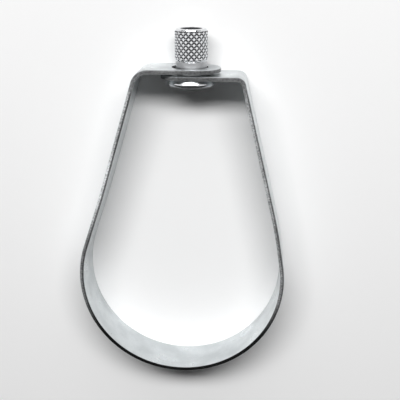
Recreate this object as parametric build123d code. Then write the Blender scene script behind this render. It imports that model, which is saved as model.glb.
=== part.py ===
# Swivel ring hanger for 3 inch pipe on a 3/8 inch threaded rod. Sizes in millimetres.
#
# Two pieces: a pear shaped ring bent from one flat galvanised strip, whose ends overlap as two
# drilled tabs, and a knurled swivel nut that stands through both tabs on its rounded flange.
# The ring lies in the XZ plane, the strip's width runs along Y, and the rod comes in along +Z.
# The origin is on the rod's axis, where the full thread begins below the nut's countersink.
from build123d import *
from math import acos, atan2, cos, hypot, pi, radians, sin
import os

# What the hanger is made for: a pipe, and a 3/8-16 rod whose thread is drawn at its minor diameter
pipe_diameter = 88.9
pipe_slack = 6.3
thread_minor_diameter = 8.0

# Strip: slit edges are rolled over on the outer face and nearly sharp on the inner face
strip_width = 22.2
strip_thickness = 2.0
outer_edge_round = 0.6
inner_edge_round = 0.2

# Nut: the collar shows between the tabs and the knurl, and the flange just covers the strip. The
# flange widens from its top over a sloping shoulder to a narrow land, and is rounded into its foot
countersink_depth = 1.1
rim_chamfer = 0.5
collar_diameter = 14.3
collar_reveal = 2.9
flange_overhang = 0.15
flange_thickness = 3.5
flange_land = 0.3
flange_shoulder_width = 0.67
flange_shoulder_round = 1.0
flange_top_round = 0.3
flange_bottom_round = 1.7

# Knurl: rolled diamonds between crossed grooves at 45 degrees, raised above the collar
knurl_rise = 0.35
knurl_depth = 0.5
knurl_height = 14.0
knurl_pitch = 2.5
knurl_crest_share = 0.56
core_inset = 0.12

# Tabs: the left leg carries the upper tab, the right leg the lower one
nut_play = 0.95
tab_gap = 0.9
flange_clearance = 0.2
bend_to_hole = 23.0
end_margin = 3.1
upper_hole_offset = -0.6
lower_hole_offset = 0.1
upper_bend_radius = 6.0
lower_bend_radius = 2.2

# Ring: hangs a little to one side. A slight set above it opens the left leg and closes the right
ring_drop = 98.9
ring_offset = -4.4
left_set_angle = 1.85
left_set_reach = 26.6
right_set_angle = -4.99
right_set_reach = 17.8
leg_set_radius = 200.0

# Margins for cutting past a face and for finding an edge by its size
cutting_margin = 1.0
finding_margin = 0.01

# Radii of the nut and of the holes that it stands in
bore_radius = thread_minor_diameter / 2
collar_radius = collar_diameter / 2
crest_radius = collar_radius + knurl_rise
root_radius = crest_radius - knurl_depth
core_radius = root_radius - core_inset
flange_radius = strip_width / 2 + flange_overhang
tab_hole_radius = crest_radius + nut_play

# Heights, from the thread's start down past the knurl and both tabs to the flange
nut_top = countersink_depth
knurl_top = nut_top - rim_chamfer
knurl_bottom = knurl_top - knurl_height
upper_tab_under = knurl_bottom - collar_reveal - strip_thickness
lower_tab_under = upper_tab_under - tab_gap - strip_thickness
flange_top = lower_tab_under - flange_clearance
nut_bottom = flange_top - flange_thickness
flange_land_top = nut_bottom + flange_bottom_round + flange_land

# Rows and columns of the knurl, half a pitch each
knurl_columns = 2 * round(2 * pi * crest_radius / knurl_pitch)
knurl_rows = round(2 * knurl_height / knurl_pitch)
knurl_row_height = knurl_height / knurl_rows

# Ring and tab ends
end_radius = strip_width / 2
ring_radius = (pipe_diameter + pipe_slack) / 2
ring_centre = Vector(ring_offset, 0, upper_tab_under - ring_drop)


def crossing(first, second):
    """Point of the XZ plane where two lines meet, each given as its unit normal and its distance."""
    (a, reach_a), (b, reach_b) = first, second
    turn = a.X * b.Z - a.Z * b.X
    return Vector((reach_a * b.Z - reach_b * a.Z) / turn, 0, (reach_b * a.X - reach_a * b.X) / turn)


def leg_leans(side, inner_bend, set_angle, set_reach):
    """How far a leg leans off the vertical, and its shoulder, which runs tangentially onto the ring.

    The set between them turns by the set angle, at its reach above the shoulder's touch.
    """
    away = side * (inner_bend.X - ring_centre.X)
    up = inner_bend.Z - ring_centre.Z
    set_turn = radians(set_angle)
    beside = ring_radius * cos(set_turn) - set_reach * sin(set_turn)
    leg_lean = atan2(up, away) - acos(beside / hypot(away, up))
    return leg_lean, leg_lean + set_turn


def leg_line(side, hole_offset, tab_under, bend_radius, set_angle, set_reach, depth):
    """One leg from its tab's end down to the ring, at a depth outside the strip's inner face.

    Side is -1 on the left and 1 on the right. The line runs along the tab, round the bend, down
    the leg and over the set to where the shoulder touches the ring.
    """
    inner_bend = Vector(hole_offset + side * bend_to_hole, 0, tab_under)
    leg_lean, shoulder_lean = leg_leans(side, inner_bend, set_angle, set_reach)
    out_of_leg = Vector(side * cos(leg_lean), 0, sin(leg_lean))
    out_of_shoulder = Vector(side * cos(shoulder_lean), 0, sin(shoulder_lean))
    tab = (Vector(0, 0, 1), tab_under + depth)
    leg = (out_of_leg, out_of_leg.dot(inner_bend) + depth)
    shoulder = (out_of_shoulder, out_of_shoulder.dot(ring_centre) + ring_radius + depth)
    blank_end = hole_offset - side * (end_margin + end_radius + cutting_margin)
    touch = ring_centre + out_of_shoulder * (ring_radius + depth)
    set_radius = leg_set_radius + (depth if set_angle < 0 else -depth)
    return FilletPolyline(
        Vector(blank_end, 0, tab_under + depth), crossing(tab, leg), crossing(leg, shoulder), touch,
        radius=[bend_radius + depth, set_radius],
    )


def strip_line(depth):
    """The bent line from the upper tab's end round the ring to the lower tab's end, at one depth."""
    left = leg_line(-1, upper_hole_offset, upper_tab_under, upper_bend_radius,
                    left_set_angle, left_set_reach, depth)
    right = leg_line(1, lower_hole_offset, lower_tab_under, lower_bend_radius,
                     right_set_angle, right_set_reach, depth)
    bottom = ring_centre - Vector(0, 0, ring_radius + depth)
    return left, ThreePointArc(left @ 1, bottom, right @ 1), right


def bent_strip():
    """The strip bent but not yet drilled: the outline between its two faces, drawn out in width."""
    inner = strip_line(0)
    outer = strip_line(strip_thickness)
    ends = [Line(inner[0] @ 0, outer[0] @ 0), Line(inner[2] @ 0, outer[2] @ 0)]
    outline = Wire([edge for line in (*inner, *outer, *ends) for edge in line.edges()])
    return extrude(Face(outline), strip_width / 2, both=True)


def tab_cutter(side, hole_offset, tab_under):
    """What is cut from one tab: the corners outside its full round end, and its hole."""
    end_x = hole_offset - side * end_margin
    beyond = end_radius + 2 * cutting_margin
    corners = Pos(end_x - side * beyond / 2, 0) * Rectangle(beyond, strip_width + 2 * cutting_margin)
    corners -= Pos(end_x, 0) * Circle(end_radius)
    hole = Pos(hole_offset, 0) * Circle(tab_hole_radius)
    cutter = extrude(corners, strip_thickness) + extrude(hole, strip_thickness)
    return Pos(0, 0, tab_under) * cutter


def slit_edges(band, on_inner_face):
    """The long edges left by slitting the strip and rounding its ends, on one of its two faces."""
    inner_face = Wire([edge for line in strip_line(0) for edge in line.edges()])
    ends = band.faces().filter_by(GeomType.CYLINDER).filter_by(
        lambda face: abs(face.radius - end_radius) < finding_margin)
    edges = []
    for edge in (edge for face in band.faces().filter_by(Axis.Y) + ends for edge in face.edges()):
        middle = edge @ 0.5
        height = inner_face.distance_to(Vector(middle.X, 0, middle.Z))
        across = abs(height - strip_thickness / 2) < finding_margin
        if not across and (height < strip_thickness / 2) == on_inner_face:
            edges.append(edge)
    return edges


def ring_band():
    """The hanger's ring: bent strip with round tab ends, a hole in each tab and rolled edges."""
    band = bent_strip()
    band -= tab_cutter(-1, upper_hole_offset, upper_tab_under)
    band -= tab_cutter(1, lower_hole_offset, lower_tab_under)
    band = fillet(slit_edges(band, False), outer_edge_round)
    return fillet(slit_edges(band, True), inner_edge_round)


def lattice_point(radius, column, row):
    """Point of the knurl's lattice: columns go round the nut, rows go up it, half a pitch each."""
    turn = 2 * pi * column / knurl_columns
    return Vector(radius * cos(turn), radius * sin(turn), knurl_bottom + row * knurl_row_height)


def flat_crest_radius():
    """Radius of the upper and lower tips of a crest, which make the crest a flat diamond."""
    return crest_radius * cos(2 * pi * knurl_crest_share / knurl_columns)


def diamond(column, row):
    """Facets of one raised diamond: its flat crest, and two for each of its four flanks."""
    steps = [(-1, 0), (0, -1), (1, 0), (0, 1)]
    tips = [lattice_point(flat_crest_radius() if along == 0 else crest_radius,
                          column + along * knurl_crest_share, row + up * knurl_crest_share)
            for along, up in steps]
    roots = [lattice_point(root_radius, column + along, row + up) for along, up in steps]
    facets = [tips]
    for side in range(4):
        ahead = (side + 1) % 4
        facets.append([tips[side], roots[side], roots[ahead]])
        facets.append([tips[side], roots[ahead], tips[ahead]])
    return facets


def run_out(column, row, inward):
    """Facets of a half diamond on an end row, which slopes down to the root towards the end."""
    tip = lattice_point(flat_crest_radius(), column, row + inward * knurl_crest_share)
    left = lattice_point(root_radius, column - 1, row)
    right = lattice_point(root_radius, column + 1, row)
    far = lattice_point(root_radius, column, row + inward)
    return [[left, right, tip], [left, tip, far], [right, tip, far]]


def knurl():
    """Diamond knurl as a closed body: crossed right and left hand grooves leave rows of diamonds."""
    facets = []
    for row in range(knurl_rows + 1):
        for column in range(row % 2, knurl_columns, 2):
            if row == 0:
                facets += run_out(column, row, 1)
            elif row == knurl_rows:
                facets += run_out(column, row, -1)
            else:
                facets += diamond(column, row)
    for row in (0, knurl_rows):
        columns = range(row % 2 + 1, knurl_columns + 1, 2)
        facets.append([lattice_point(root_radius, column, row) for column in columns])
    return Solid(Shell([Face(Wire.make_polygon(facet, close=True)) for facet in facets]))


def turned(*profile):
    """Solid of revolution about the nut's axis, from radius and height pairs."""
    outline = Polyline(*[(radius, 0, height) for radius, height in profile], close=True)
    return revolve(Face(Wire(outline.edges())), Axis.Z)


def rims(body, radius):
    """The nut's sharp rims that have a given radius, lowest first."""
    circles = body.edges().filter_by(GeomType.CIRCLE)
    return circles.filter_by(lambda edge: abs(edge.radius - radius) < finding_margin).sort_by(Axis.Z)


def swivel_nut():
    """The nut: domed flange, collar, knurl, plain rim, and the threaded hole through."""
    body = turned(
        (0, nut_top),
        (root_radius - rim_chamfer, nut_top),
        (root_radius, knurl_top),
        (core_radius, knurl_top),
        (core_radius, knurl_bottom),
        (collar_radius, knurl_bottom),
        (collar_radius, flange_top),
        (flange_radius - flange_shoulder_width, flange_top),
        (flange_radius, flange_land_top),
        (flange_radius, nut_bottom),
        (0, nut_bottom),
    )
    body = fillet(rims(body, flange_radius - flange_shoulder_width)[-1], flange_top_round)
    body = fillet(rims(body, flange_radius)[0], flange_bottom_round)
    body = fillet(rims(body, flange_radius)[-1], flange_shoulder_round)
    bore = turned(
        (0, nut_top + countersink_depth),
        (bore_radius + 2 * countersink_depth, nut_top + countersink_depth),
        (bore_radius, nut_top - countersink_depth),
        (bore_radius, nut_bottom + countersink_depth),
        (bore_radius + 2 * countersink_depth, nut_bottom - countersink_depth),
        (0, nut_bottom - countersink_depth),
    )
    return body + knurl() - bore


os.makedirs("parts", exist_ok=True)
export_step(ring_band(), "parts/ring_band.step")
export_step(swivel_nut(), "parts/swivel_nut.step")
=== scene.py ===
"""Looks of a swivel ring hanger: galvanised strip ring and bright knurled swivel nut."""
from math import atan2, cos, degrees, pi, radians, sin, tan

import bmesh
import bpy
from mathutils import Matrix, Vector


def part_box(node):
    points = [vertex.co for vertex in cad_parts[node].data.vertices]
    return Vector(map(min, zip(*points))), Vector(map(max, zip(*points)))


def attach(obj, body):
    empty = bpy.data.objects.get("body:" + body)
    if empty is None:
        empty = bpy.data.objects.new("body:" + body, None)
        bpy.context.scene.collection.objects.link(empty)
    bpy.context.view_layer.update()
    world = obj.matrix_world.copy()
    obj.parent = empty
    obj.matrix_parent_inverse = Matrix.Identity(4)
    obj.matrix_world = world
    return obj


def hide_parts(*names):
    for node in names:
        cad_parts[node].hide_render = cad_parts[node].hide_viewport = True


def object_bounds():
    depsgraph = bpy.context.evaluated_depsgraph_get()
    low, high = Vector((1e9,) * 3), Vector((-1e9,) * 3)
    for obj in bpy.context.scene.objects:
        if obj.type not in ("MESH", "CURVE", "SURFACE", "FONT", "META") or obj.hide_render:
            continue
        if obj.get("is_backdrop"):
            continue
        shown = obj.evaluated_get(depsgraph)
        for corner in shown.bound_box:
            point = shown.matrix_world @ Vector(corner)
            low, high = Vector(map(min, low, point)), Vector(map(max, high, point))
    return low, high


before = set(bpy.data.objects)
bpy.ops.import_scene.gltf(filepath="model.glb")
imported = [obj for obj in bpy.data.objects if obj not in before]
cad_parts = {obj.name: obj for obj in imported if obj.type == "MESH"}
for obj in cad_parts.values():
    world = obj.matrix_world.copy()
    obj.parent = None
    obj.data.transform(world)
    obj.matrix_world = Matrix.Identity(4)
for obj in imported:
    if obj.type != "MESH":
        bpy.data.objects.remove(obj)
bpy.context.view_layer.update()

# Camera, as solved from the outline of the object in the photograph
camera_place = (0.0313, -0.3697, 0.0387)
camera_pitch = -17.78
camera_yaw = 4.23
lens_mm = 72.8
sensor_mm = 36.0

# Studio, with lengths in metres. The ring lies on a white table, which stands behind it in this frame
table_gap = 0.0001
table_half = 3.0
table_white = 0.93
world_light = 0.02
world_white = 0.97

# Softboxes: metres from the object, degrees above the table, metres wide and high, and watts
softbox_distance = 1.25
key_height_angle = 52.5
key_size = (1.5, 0.29)
key_watts = 19.4
fill_height_angle = 28.0
fill_size = (1.5, 0.56)
fill_watts = 4.7

# Black cards, in metres: half the width, and the two edges that run across the view, as (y, z)
card_black = 0.02
lower_card = (2.0, (-1.2, -0.6), (0.01, -0.3))
front_card = (0.7, (-1.2, -0.6), (-1.2, -0.3))
upper_card = (1.1, (-0.04, 0.5), (-0.49, 0.5))

# A millimetre in metres, and the turn in degrees past which an edge stays sharp
mm = 0.001
sharp_angle = 32.0

# Nut, in millimetres. A knurl column is half a diamond wide, and a row is half a diamond high
nut_top = 1.1
nut_bottom = -24.9
knurl_top = 0.6
knurl_bottom = -13.4
knurl_height = knurl_top - knurl_bottom
knurl_columns = 38
knurl_rows = 11
knurl_radius = 7.5
knurl_depth = 0.4
knurl_run_out = 0.8
root_radius = 7.0
rim_round = 0.5
collar_radius = 7.15
collar_fillet = 0.15
flange_radius = 11.25
flange_top = -21.4
flange_shoulder_width = 0.67
flange_land = 0.3
shoulder_round = 1.0
flange_top_round = 0.3
flange_bottom_round = 1.7
minor_radius = 4.0
countersink_depth = 1.1
mouth_radius = minor_radius + countersink_depth

# Share of the way across a diamond that the flank of a groove takes
knurl_flank = 0.2

# Thread, 16 to the inch, with the shares of its pitch that are crest and root
thread_pitch = 25.4 / 16
thread_depth = 0.76
thread_crest_share = 0.25
thread_root_share = 0.2

# How finely the nut is meshed: steps across a diamond, round the nut, in a round and in a pitch, and
# the distance in metres within which points are joined
diamond_steps = 10
nut_steps = knurl_columns * diamond_steps // 2
round_steps = 6
thread_steps = 14
merge_distance = 2e-6

# What a mask runs from and to
whole = (0.0, 1.0)
falling = (1.0, 0.0)

# Noises: scale per metre, detail and roughness
zinc_noise = (900.0, 3.0, 0.5)
cloud_noise = (90.0, 2.0, 0.5)
grain_noise = (1200.0, 2.0, 0.6)
patch_noise = (45.0, 1.0, 0.5)
torn_noise = (1500.0, 3.0, 0.7)

# Finish of the nut: zinc, with a painted shade colour that is weaker on the collar and round the foot
zinc_dark = (0.7, 0.715, 0.73)
zinc_light = (0.84, 0.85, 0.87)
zinc_roughness = 0.12
painted_shade_colour = (0.04, 0.04, 0.044)
painted_shade_roughness = 0.6
collar_painted_shade = 0.5
foot_painted_shade = 0.8

# Where the painted shade of the nut starts and ends: heights and radii in millimetres, each as a fade
knurl_shade_start = (knurl_bottom - 0.1, knurl_bottom)
knurl_shade_end = (knurl_top - 0.6, knurl_top - 0.4)
outer_skin_start = (minor_radius + 1.5, minor_radius + 1.6)
hole_shade_end = (minor_radius + 0.9, minor_radius + 1.1)
foot_shade_end = (nut_bottom + 0.55, nut_bottom + 0.75)
collar_shade_start = (flange_top, flange_top + 0.3)
collar_shade_end = (knurl_bottom - 0.3, knurl_bottom)

# How far a surface faces up, of 1, to count as an upward flank
upward_start = (0.15, 0.4)

# Finish of the strip's rolled faces: clouds of dull and bright zinc, darker grain, and specks in millimetres
strip_dull = (0.55, 0.575, 0.585)
strip_bright = (0.66, 0.685, 0.695)
strip_grain = (0.42, 0.45, 0.46)
strip_speck = (0.12, 0.12, 0.12)
bright_clouds = (0.3, 0.7)
smooth_clouds = (0.25, 0.75)
cloud_roughness = (0.38, 0.26)
grain_limits = (0.2, 0.8)
grain_share = (0.25, 0.0)
grain_bump = 0.25
grain_bump_metres = 0.00004
speck_spacing = 9.0
speck_radius = 0.35

# Where the strip is cut: how far a surface faces sideways or up, of 1, and the flat of the tabs, in
# millimetres from the rod's axis and in height
sideways_start = (0.6, 0.9)
upright_end = (0.3, 0.6)
tab_reach = 15.0
tab_side_end = (tab_reach, tab_reach + 1.0)
tab_bottom = -21.2
tab_height_start = (tab_bottom - 0.5, tab_bottom)

# How light the cut edges are, from 0 to 1, how much patches and torn steel change that, and their shine
# Painted light and shade: these greys make the cut edge lightest on the left leg and nearly black at the
# bottom of the ring
tab_grey = 0.165
left_leg_grey = 0.66
right_leg_grey = 0.36
ring_grey = 0.29
foot_grey = 0.008
# Painted shade: the grey of a dark line along one corner of the cut edge
corner_shade_grey = 0.12
patch_limits = (0.35, 0.65)
patch_factor = (0.7, 1.3)
torn_limits = (0.3, 0.7)
torn_factor = (0.45, 1.45)
cut_black = (0.0, 0.0, 0.0)
cut_white = (0.96, 0.98, 1.0)
cut_metallic = 0.1
cut_gloss = 0.12

# Heights in millimetres where the grey changes, and how far to either side of them it does
tabs_end = -27.0
tabs_end_spread = 3.0
legs_end = -85.0
legs_end_spread = 18.0
foot_start = -134.0
foot_start_spread = 14.0

# How far to either side of the rod's axis the left half fades into the right one, in millimetres
middle_spread = 6.0

# Painted shade along one corner of the cut edge: the shares of the strip's thickness where it starts and is
# full
strip_thickness = 2.0
corner_shade_start = 0.5
corner_shade_full = 0.65

# Inner face of the strip, in millimetres and degrees. A leg has its lean off the vertical, its distance
# from the origin and its lower end. A shoulder touches the ring, and has its lean and its lower end
ring_centre_x = -4.4
ring_centre_z = -117.2
ring_radius = 47.6
left_leg = (16.64, 17.37, -73.7)
left_shoulder = (18.3, -102.1)
right_leg = (13.38, 17.57, -84.1)
right_shoulder = (10.03, -110.2)
end_spread = 1.0


def link(thing):
    """Puts an object into the scene."""
    bpy.context.scene.collection.objects.link(thing)
    return thing


def add_camera():
    """The camera at the photograph's place and angle."""
    data = bpy.data.cameras.new("camera")
    data.lens = lens_mm
    data.sensor_width = sensor_mm
    camera = link(bpy.data.objects.new("camera", data))
    camera.location = camera_place
    camera.rotation_euler = (radians(90 + camera_pitch), 0, radians(camera_yaw))
    bpy.context.scene.camera = camera


def feed(tree, value, socket):
    """Links a socket to an input of a node, or sets the input to a number or a colour."""
    if isinstance(value, (int, float)):
        socket.default_value = value
    elif isinstance(value, tuple):
        socket.default_value = (*value, 1)
    else:
        tree.links.new(value, socket)


def maths(tree, operation, first, second=0.0):
    """A sum, product or the like of two values, each a socket or a number."""
    node = tree.nodes.new("ShaderNodeMath")
    node.operation = operation
    feed(tree, first, node.inputs[0])
    feed(tree, second, node.inputs[1])
    return node.outputs[0]


def vector_maths(tree, operation, place, *fixed):
    """The outputs of a vector operation on a place and up to two fixed vectors."""
    node = tree.nodes.new("ShaderNodeVectorMath")
    node.operation = operation
    tree.links.new(place, node.inputs[0])
    for socket, vector in zip(node.inputs[1:], fixed):
        socket.default_value = vector
    return node.outputs


def remap(tree, source, limits, values=whole):
    """A value read between two limits and turned into another range, with soft ends."""
    node = tree.nodes.new("ShaderNodeMapRange")
    node.interpolation_type = "SMOOTHSTEP"
    node.inputs["From Min"].default_value, node.inputs["From Max"].default_value = limits
    node.inputs["To Min"].default_value, node.inputs["To Max"].default_value = values
    tree.links.new(source, node.inputs["Value"])
    return node.outputs["Result"]


def fade(tree, source, limits, values=whole):
    """A length in metres, read between two limits in millimetres, with soft ends."""
    low, high = limits
    return remap(tree, source, (low * mm, high * mm), values)


def around(middle, spread):
    """Two limits, as far to either side of a middle."""
    return middle - spread, middle + spread


def mix(tree, data_type, socket_type, share, first, second):
    """Two values of one type mixed by a share."""
    node = tree.nodes.new("ShaderNodeMix")
    node.data_type = data_type
    feed(tree, share, node.inputs["Factor"])
    for name, value in (("A", first), ("B", second)):
        feed(tree, value, [one for one in node.inputs if one.name == name and one.type == socket_type][0])
    return [one for one in node.outputs if one.type == socket_type][0]


def mixed_numbers(tree, share, first, second):
    """Two values mixed by a share, each a socket or a number."""
    return mix(tree, "FLOAT", "VALUE", share, first, second)


def mixed_colours(tree, share, first, second):
    """Two colours mixed by a share, each a socket or three numbers."""
    return mix(tree, "RGBA", "RGBA", share, first, second)


def noise(tree, place, scale, detail, roughness):
    """Soft random variation at a scale, per metre."""
    node = tree.nodes.new("ShaderNodeTexNoise")
    node.inputs["Scale"].default_value = scale
    node.inputs["Detail"].default_value = detail
    node.inputs["Roughness"].default_value = roughness
    tree.links.new(place, node.inputs["Vector"])
    return node.outputs["Fac"]


def coordinates(tree, vector):
    """X, Y and Z of a vector, as sockets."""
    node = tree.nodes.new("ShaderNodeSeparateXYZ")
    tree.links.new(vector, node.inputs[0])
    return tuple(node.outputs)


def new_material(name):
    """A node material, its node tree and its shader."""
    material = bpy.data.materials.new(name)
    material.use_nodes = True
    return material, material.node_tree, material.node_tree.nodes["Principled BSDF"]


def metal(name):
    """A metal that has no colour or roughness of its own yet: its material, node tree and shader."""
    material, tree, shader = new_material(name)
    shader.inputs["Metallic"].default_value = 1
    return material, tree, shader


def rectangle(name, half_width, first_edge, second_edge):
    """A flat stage piece, from half its width and the (y, z) of the two edges that run across the view."""
    corners = [(-half_width, *first_edge), (half_width, *first_edge),
               (half_width, *second_edge), (-half_width, *second_edge)]
    mesh = bpy.data.meshes.new(name)
    mesh.from_pydata(corners, [], [(0, 1, 2, 3)])
    piece = link(bpy.data.objects.new(name, mesh))
    piece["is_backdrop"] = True
    return piece


def table_material():
    """Matt white from the front, clear from behind and to shadow rays, so that the ring's back shows."""
    material, tree, shader = new_material("table_white")
    tree.nodes.remove(shader)
    white = tree.nodes.new("ShaderNodeBsdfDiffuse")
    white.inputs["Color"].default_value = (table_white, table_white, table_white, 1)
    clear = tree.nodes.new("ShaderNodeBsdfTransparent")
    side = tree.nodes.new("ShaderNodeNewGeometry")
    ray = tree.nodes.new("ShaderNodeLightPath")
    seen_through = maths(tree, "MAXIMUM", side.outputs["Backfacing"], ray.outputs["Is Shadow Ray"])
    surface = tree.nodes.new("ShaderNodeMixShader")
    tree.links.new(seen_through, surface.inputs[0])
    tree.links.new(white.outputs[0], surface.inputs[1])
    tree.links.new(clear.outputs[0], surface.inputs[2])
    tree.links.new(surface.outputs[0], tree.nodes["Material Output"].inputs["Surface"])
    return material


def add_table():
    """The white table that the ring's far edge lies on. It turns with the ring."""
    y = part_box("ring_band")[1].y + table_gap
    table = rectangle("table", table_half, (y, -table_half), (y, table_half))
    table.data.materials.append(table_material())
    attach(table, "ring")


def black_card(name, half_width, first_edge, second_edge):
    """A black card that reflections and bounced light meet, but that the camera and shadows don't show."""
    material, _, shader = new_material(name)
    shader.inputs["Base Color"].default_value = (card_black, card_black, card_black, 1)
    shader.inputs["Roughness"].default_value = 1
    card = rectangle(name, half_width, first_edge, second_edge)
    card.data.materials.append(material)
    card.visible_camera = False
    card.visible_shadow = False


def add_cards():
    """Cards below the object, low in front of it and above it, for the dark room of the photograph."""
    black_card("lower_card", *lower_card)
    black_card("front_card", *front_card)
    black_card("upper_card", *upper_card)


def area_light(name, place, target, size, watts):
    """A rectangular softbox at a place, turned to its target."""
    data = bpy.data.lights.new(name, "AREA")
    data.shape = "RECTANGLE"
    data.size, data.size_y = size
    data.energy = watts
    light = link(bpy.data.objects.new(name, data))
    light.location = place
    light.rotation_euler = (Vector(target) - Vector(place)).to_track_quat("-Z", "Y").to_euler()
    return light


def add_softbox(name, height_angle, size, watts):
    """A softbox beyond the top of the table, at an angle above it."""
    low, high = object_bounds()
    centre = (low + high) / 2
    rise = radians(height_angle)
    place = centre + softbox_distance * Vector((0, -sin(rise), cos(rise)))
    return area_light(name, place, centre, size, watts)


def add_world():
    """Pale all round for the camera, reflections and clear things, and a dim soft fill for the rest."""
    world = bpy.data.worlds.new("studio")
    world.use_nodes = True
    tree = world.node_tree
    ray = tree.nodes.new("ShaderNodeLightPath")
    mirrored = maths(tree, "MAXIMUM", ray.outputs["Is Camera Ray"], ray.outputs["Is Glossy Ray"])
    shown = maths(tree, "MAXIMUM", mirrored, ray.outputs["Is Transmission Ray"])
    background = tree.nodes["Background"]
    tree.links.new(mixed_numbers(tree, shown, world_light, world_white), background.inputs["Strength"])
    background.inputs["Color"].default_value = (1, 1, 1, 1)
    bpy.context.scene.world = world


def smooth_with_sharp_edges(shape):
    """Smooth shading everywhere but across edges that turn sharply."""
    for face in shape.faces:
        face.smooth = True
    for edge in shape.edges:
        edge.smooth = not edge.is_manifold or edge.calc_face_angle() < radians(sharp_angle)


def mesh_piece(name, shape, body, node):
    """Turns a bmesh into a piece that stands for a node of the model and moves with its body."""
    mesh = bpy.data.meshes.new(name)
    shape.to_mesh(mesh)
    shape.free()
    piece = link(bpy.data.objects.new(name, mesh))
    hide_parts(node)
    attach(piece, body)
    return piece


def nut_point(radius, column, height):
    """A point of the nut, from its knurl column, in metres."""
    turn = 2 * pi * column / knurl_columns
    return Vector((radius * cos(turn), radius * sin(turn), height)) * mm


def groove(share):
    """How deep a knurl groove is at a share of the way across a diamond: 1 in its bottom, 0 on top."""
    from_groove = min(share, 1 - share)
    return max(0.0, 1 - from_groove / knurl_flank)


def knurl_surface_point(diamond_column, diamond_row, across, along):
    """A point of one diamond, at its shares of the way across both families of grooves."""
    row = diamond_row + across - along
    column = diamond_column + across + along - 1
    height = knurl_bottom + row * knurl_height / knurl_rows
    to_end = min(height - knurl_bottom, knurl_top - height)
    rise = knurl_radius - root_radius - knurl_depth * max(groove(across), groove(along))
    return nut_point(root_radius + rise * min(1.0, to_end / knurl_run_out), column, height)


def add_diamond(shape, column, row):
    """One diamond of the knurl as a small grid. The first and last rows keep only their inner half."""
    shares = [step / diamond_steps for step in range(diamond_steps + 1)]
    grid = [[shape.verts.new(knurl_surface_point(column, row, across, along)) for along in shares]
            for across in shares]
    for i in range(diamond_steps):
        for j in range(diamond_steps):
            near, far = grid[i][j], grid[i + 1][j + 1]
            upper, lower = grid[i + 1][j], grid[i][j + 1]
            cut = row == 0 and i <= j or row == knurl_rows and i >= j
            if not cut:
                shape.faces.new((near, upper, far, lower))
            elif i == j:
                shape.faces.new((near, upper, far) if row == 0 else (near, far, lower))
    for vertex in [v for line in grid for v in line if not v.link_faces]:
        shape.verts.remove(vertex)


def arc(centre_radius, centre_height, round_radius, start, stop):
    """Radius and height pairs along a round of the nut's profile, between two angles in degrees."""
    turns = [radians(start + (stop - start) * step / round_steps) for step in range(round_steps + 1)]
    return [(centre_radius + round_radius * cos(turn), centre_height + round_radius * sin(turn))
            for turn in turns]


def thread_radius(turn_share, height):
    """Wall radius of the tapped hole at a share of a turn, with a countersink at both ends."""
    phase = (height / thread_pitch - turn_share) % 1
    flank = (1 - thread_crest_share - thread_root_share) / 2
    beyond = phase - thread_crest_share
    depth = min(max(beyond / flank, 0), max((1 - phase) / flank, 0), 1)
    sink = max(height - (nut_top - countersink_depth), nut_bottom + countersink_depth - height, 0)
    return max(minor_radius + thread_depth * depth, minor_radius + sink)


def add_rings(shape, rings):
    """Joins rings of points into a band of faces."""
    made = [[shape.verts.new(point) for point in ring] for ring in rings]
    for lower, upper in zip(made, made[1:]):
        for i in range(len(lower)):
            j = (i + 1) % len(lower)
            shape.faces.new((lower[i], lower[j], upper[j], upper[i]))


def columns_round_nut():
    """Where the points of a ring lie round the nut, in knurl columns, so that they meet the diamonds."""
    return [step * 2 / diamond_steps for step in range(nut_steps)]


def turned_rings(profile):
    """Rings of points for radius and height pairs."""
    columns = columns_round_nut()
    return [[nut_point(radius, column, height) for column in columns] for radius, height in profile]


def tapped_hole_rings():
    """Rings of points down the tapped hole, close enough to show its thread."""
    columns = columns_round_nut()
    count = round(thread_steps * (nut_top - nut_bottom) / thread_pitch)
    heights = [nut_top + (nut_bottom - nut_top) * step / count for step in range(count + 1)]
    return [[nut_point(thread_radius(column / knurl_columns, height), column, height)
             for column in columns] for height in heights]


def rim_profile():
    """Radius and height pairs from the top of the knurl over the rounded rim to the mouth of the hole."""
    rim = arc(root_radius - rim_round, nut_top - rim_round, rim_round, 0, 90)
    return [(root_radius, knurl_top), *rim, (mouth_radius, nut_top)]


def flange_profile():
    """Radius and height pairs from the hole's lower mouth round the flange and up to the knurl."""
    foot_corner = flange_radius - flange_bottom_round
    land_top = nut_bottom + flange_bottom_round + flange_land
    slope = degrees(atan2(flange_shoulder_width, flange_top - land_top))
    setback = tan(radians(slope / 2))
    top_corner = flange_radius - flange_shoulder_width - flange_top_round
    top_centre = (top_corner + flange_top_round * setback, flange_top - flange_top_round)
    return [
        (mouth_radius, nut_bottom),
        *arc(foot_corner, nut_bottom + flange_bottom_round, flange_bottom_round, -90, 0),
        *arc(flange_radius - shoulder_round, land_top - shoulder_round * setback, shoulder_round, 0, slope),
        *arc(*top_centre, flange_top_round, slope, 90),
        *arc(collar_radius + collar_fillet, flange_top + collar_fillet, -collar_fillet, 90, 0),
        (collar_radius, knurl_bottom - collar_fillet),
        (root_radius, knurl_bottom),
    ]


def nut_shape():
    """The swivel nut in one closed skin: knurl, rim, tapped hole, collar and rounded flange."""
    shape = bmesh.new()
    for row in range(knurl_rows + 1):
        for column in range(row % 2, knurl_columns, 2):
            add_diamond(shape, column, row)
    add_rings(shape, turned_rings(rim_profile()))
    add_rings(shape, tapped_hole_rings())
    add_rings(shape, turned_rings(flange_profile()))
    bmesh.ops.remove_doubles(shape, verts=shape.verts, dist=merge_distance)
    bmesh.ops.recalc_face_normals(shape, faces=shape.faces)
    smooth_with_sharp_edges(shape)
    return shape


def radius_and_height(tree, place):
    """Distance of a place from the nut's axis, and its height."""
    x, y, height = coordinates(tree, place)
    square = maths(tree, "ADD", maths(tree, "MULTIPLY", x, x), maths(tree, "MULTIPLY", y, y))
    return maths(tree, "SQRT", square), height


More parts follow.
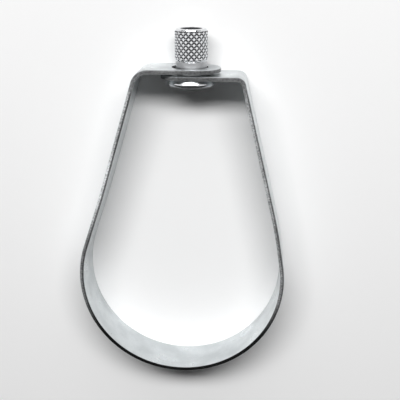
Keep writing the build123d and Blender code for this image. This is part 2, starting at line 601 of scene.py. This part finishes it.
def knurl_painted_shade(tree, radius, height, facing_up):
    """Painted shade: 1 on the upward flanks of the knurl, in place of the dark they would mirror, 0
    elsewhere.
    """
    above_start = fade(tree, height, knurl_shade_start)
    below_end = fade(tree, height, knurl_shade_end, falling)
    in_knurl = maths(tree, "MULTIPLY", above_start, below_end)
    upward = remap(tree, facing_up, upward_start)
    outside = fade(tree, radius, outer_skin_start)
    return maths(tree, "MULTIPLY", in_knurl, maths(tree, "MULTIPLY", upward, outside))


def nut_painted_shade(tree, place, normal):
    """How much shade is painted on the nut: in the knurl, down the hole, round the foot and on the collar.
    """
    radius, height = radius_and_height(tree, place)
    facing_up = coordinates(tree, normal)[2]
    hole = fade(tree, radius, hole_shade_end, falling)
    foot = fade(tree, height, foot_shade_end, (foot_painted_shade, 0.0))
    below_knurl = fade(tree, height, collar_shade_end, (collar_painted_shade, 0.0))
    above_flange = fade(tree, height, collar_shade_start)
    collar = maths(tree, "MULTIPLY", below_knurl, above_flange)
    painted_shade = maths(tree, "MAXIMUM", knurl_painted_shade(tree, radius, height, facing_up), hole)
    return maths(tree, "MAXIMUM", maths(tree, "MAXIMUM", painted_shade, foot), collar)


def zinc_nut_material():
    """Bright zinc with soft clouds, duller and nearly black where shade is painted."""
    material, tree, shader = metal("bright_zinc")
    spot = tree.nodes.new("ShaderNodeTexCoord")
    place = spot.outputs["Object"]
    painted_shade = nut_painted_shade(tree, place, spot.outputs["Normal"])
    zinc = mixed_colours(tree, noise(tree, place, *zinc_noise), zinc_dark, zinc_light)
    roughness = remap(tree, painted_shade, whole, (zinc_roughness, painted_shade_roughness))
    # The dark colour here is painted shade and painted dark reflection, not a coating of the nut
    tree.links.new(mixed_colours(tree, painted_shade, zinc, painted_shade_colour), shader.inputs["Base Color"])
    tree.links.new(roughness, shader.inputs["Roughness"])
    return material


def cut_mask(tree, place, normal):
    """1 on the strip's cut edges and in the tab holes, 0 on its two rolled faces."""
    x, _, height = coordinates(tree, place)
    _, facing_side, facing_up = coordinates(tree, normal)
    long_edge = remap(tree, maths(tree, "ABSOLUTE", facing_side), sideways_start)
    not_flat = remap(tree, maths(tree, "ABSOLUTE", facing_up), upright_end, falling)
    near_axis = fade(tree, maths(tree, "ABSOLUTE", x), tab_side_end, falling)
    on_tabs = maths(tree, "MULTIPLY", near_axis, fade(tree, height, tab_height_start))
    return maths(tree, "MAXIMUM", long_edge, maths(tree, "MULTIPLY", on_tabs, not_flat))


def specks(tree, place):
    """1 in small dots about the speck spacing apart, and 0 elsewhere."""
    cells = tree.nodes.new("ShaderNodeTexVoronoi")
    cells.inputs["Scale"].default_value = 1 / (speck_spacing * mm)
    tree.links.new(place, cells.inputs["Vector"])
    edge = speck_radius / speck_spacing
    return remap(tree, cells.outputs["Distance"], (0.5 * edge, edge), falling)


def beyond_face(tree, place, side, lean, offset):
    """How far a place lies outside a straight inner face, which leans off the vertical by an angle."""
    turn = radians(lean)
    distance = vector_maths(tree, "DOT_PRODUCT", place, (side * cos(turn), 0, sin(turn)))["Value"]
    return maths(tree, "SUBTRACT", distance, offset * mm)


def beyond_ring(tree, place):
    """How far a place lies outside the inner face of the ring's round part."""
    shift = (-ring_centre_x * mm, 0, -ring_centre_z * mm)
    from_centre = vector_maths(tree, "MULTIPLY_ADD", place, (1, 0, 1), shift)["Vector"]
    distance = vector_maths(tree, "LENGTH", from_centre)["Value"]
    return maths(tree, "SUBTRACT", distance, ring_radius * mm)


def depth_in_strip(tree, place, height, side, leg, shoulder):
    """How deep a place lies in the strip from its inner face, on the left (side -1) or the right (1)."""
    leg_lean, leg_offset, leg_end = leg
    shoulder_lean, shoulder_end = shoulder
    turn = radians(shoulder_lean)
    shoulder_offset = ring_radius + side * cos(turn) * ring_centre_x + sin(turn) * ring_centre_z
    on_shoulder = fade(tree, height, around(shoulder_end, end_spread))
    on_leg = fade(tree, height, around(leg_end, end_spread))
    in_leg = beyond_face(tree, place, side, leg_lean, leg_offset)
    in_shoulder = beyond_face(tree, place, side, shoulder_lean, shoulder_offset)
    depth = mixed_numbers(tree, on_shoulder, beyond_ring(tree, place), in_shoulder)
    return mixed_numbers(tree, on_leg, depth, in_leg)


def corner_shade_mask(tree, place, across, height):
    """Painted shade: 1 along one corner of the cut edge, the inner one on the left and the outer one on the
    right, 0 elsewhere.
    """
    left = depth_in_strip(tree, place, height, -1, left_leg, left_shoulder)
    left_from_outside = maths(tree, "SUBTRACT", strip_thickness * mm, left)
    right = depth_in_strip(tree, place, height, 1, right_leg, right_shoulder)
    on_right = fade(tree, across, around(0.0, middle_spread))
    depth = mixed_numbers(tree, on_right, left_from_outside, right)
    return fade(tree, depth, (corner_shade_start * strip_thickness, corner_shade_full * strip_thickness))


def cut_edge_grey(tree, place):
    """How light the cut edge is: painted light and shade by its stretch of the strip, and a painted dark
    line along one corner.
    """
    across, _, height = coordinates(tree, place)
    legs = fade(tree, across, around(0.0, middle_spread), (left_leg_grey, right_leg_grey))
    on_legs = fade(tree, height, around(legs_end, legs_end_spread))
    on_tabs = fade(tree, height, around(tabs_end, tabs_end_spread))
    on_foot = fade(tree, height, around(foot_start, foot_start_spread), falling)
    grey = mixed_numbers(tree, on_legs, ring_grey, legs)
    grey = mixed_numbers(tree, corner_shade_mask(tree, place, across, height), grey, corner_shade_grey)
    grey = mixed_numbers(tree, on_tabs, grey, tab_grey)
    return mixed_numbers(tree, on_foot, grey, foot_grey)


def cut_edge_colour(tree, place):
    """Torn steel in patches, with painted light and shade: lightest on the legs, and nearly black at the
    bottom of the ring.
    """
    patches = remap(tree, noise(tree, place, *patch_noise), patch_limits, patch_factor)
    torn = remap(tree, noise(tree, place, *torn_noise), torn_limits, torn_factor)
    grey = maths(tree, "MULTIPLY", cut_edge_grey(tree, place), maths(tree, "MULTIPLY", patches, torn))
    return mixed_colours(tree, grey, cut_black, cut_white)


def rolled_face_colour(tree, place, clouds, grain):
    """Zinc in faint clouds, with darker grain and a few specks."""
    zinc = mixed_colours(tree, remap(tree, clouds, bright_clouds), strip_dull, strip_bright)
    grained = mixed_colours(tree, remap(tree, grain, grain_limits, grain_share), zinc, strip_grain)
    return mixed_colours(tree, specks(tree, place), grained, strip_speck)


def galvanised_material():
    """Galvanised strip: mottled, grained and specked on its rolled faces, torn on its cut edges."""
    material, tree, shader = metal("galvanised")
    spot = tree.nodes.new("ShaderNodeTexCoord")
    place = spot.outputs["Object"]
    clouds = noise(tree, place, *cloud_noise)
    grain = noise(tree, place, *grain_noise)
    cut = cut_mask(tree, place, spot.outputs["Normal"])
    face_colour = rolled_face_colour(tree, place, clouds, grain)
    colour = mixed_colours(tree, cut, face_colour, cut_edge_colour(tree, place))
    bump = tree.nodes.new("ShaderNodeBump")
    bump.inputs["Strength"].default_value = grain_bump
    bump.inputs["Distance"].default_value = grain_bump_metres
    tree.links.new(grain, bump.inputs["Height"])
    tree.links.new(colour, shader.inputs["Base Color"])
    tree.links.new(remap(tree, cut, whole, (1.0, cut_metallic)), shader.inputs["Metallic"])
    tree.links.new(remap(tree, clouds, smooth_clouds, cloud_roughness), shader.inputs["Roughness"])
    tree.links.new(bump.outputs[0], shader.inputs["Normal"])
    # Gloss shows only where the surface is no metal, so on the cut edges
    shader.inputs["Specular IOR Level"].default_value = cut_gloss
    return material


def add_nut():
    """The detailed nut, in place of the plain one."""
    nut = mesh_piece("knurled_nut", nut_shape(), "nut", "swivel_nut")
    nut.data.materials.append(zinc_nut_material())


def add_strip():
    """The strip keeps its shape and gets its finish."""
    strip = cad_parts["ring_band"]
    strip.data.materials.clear()
    strip.data.materials.append(galvanised_material())


add_camera()
add_table()
add_cards()
add_softbox("key", key_height_angle, key_size, key_watts)
add_softbox("fill", fill_height_angle, fill_size, fill_watts).visible_glossy = False
add_world()
add_nut()
add_strip()

bpy.context.scene.view_settings.view_transform = "Standard"
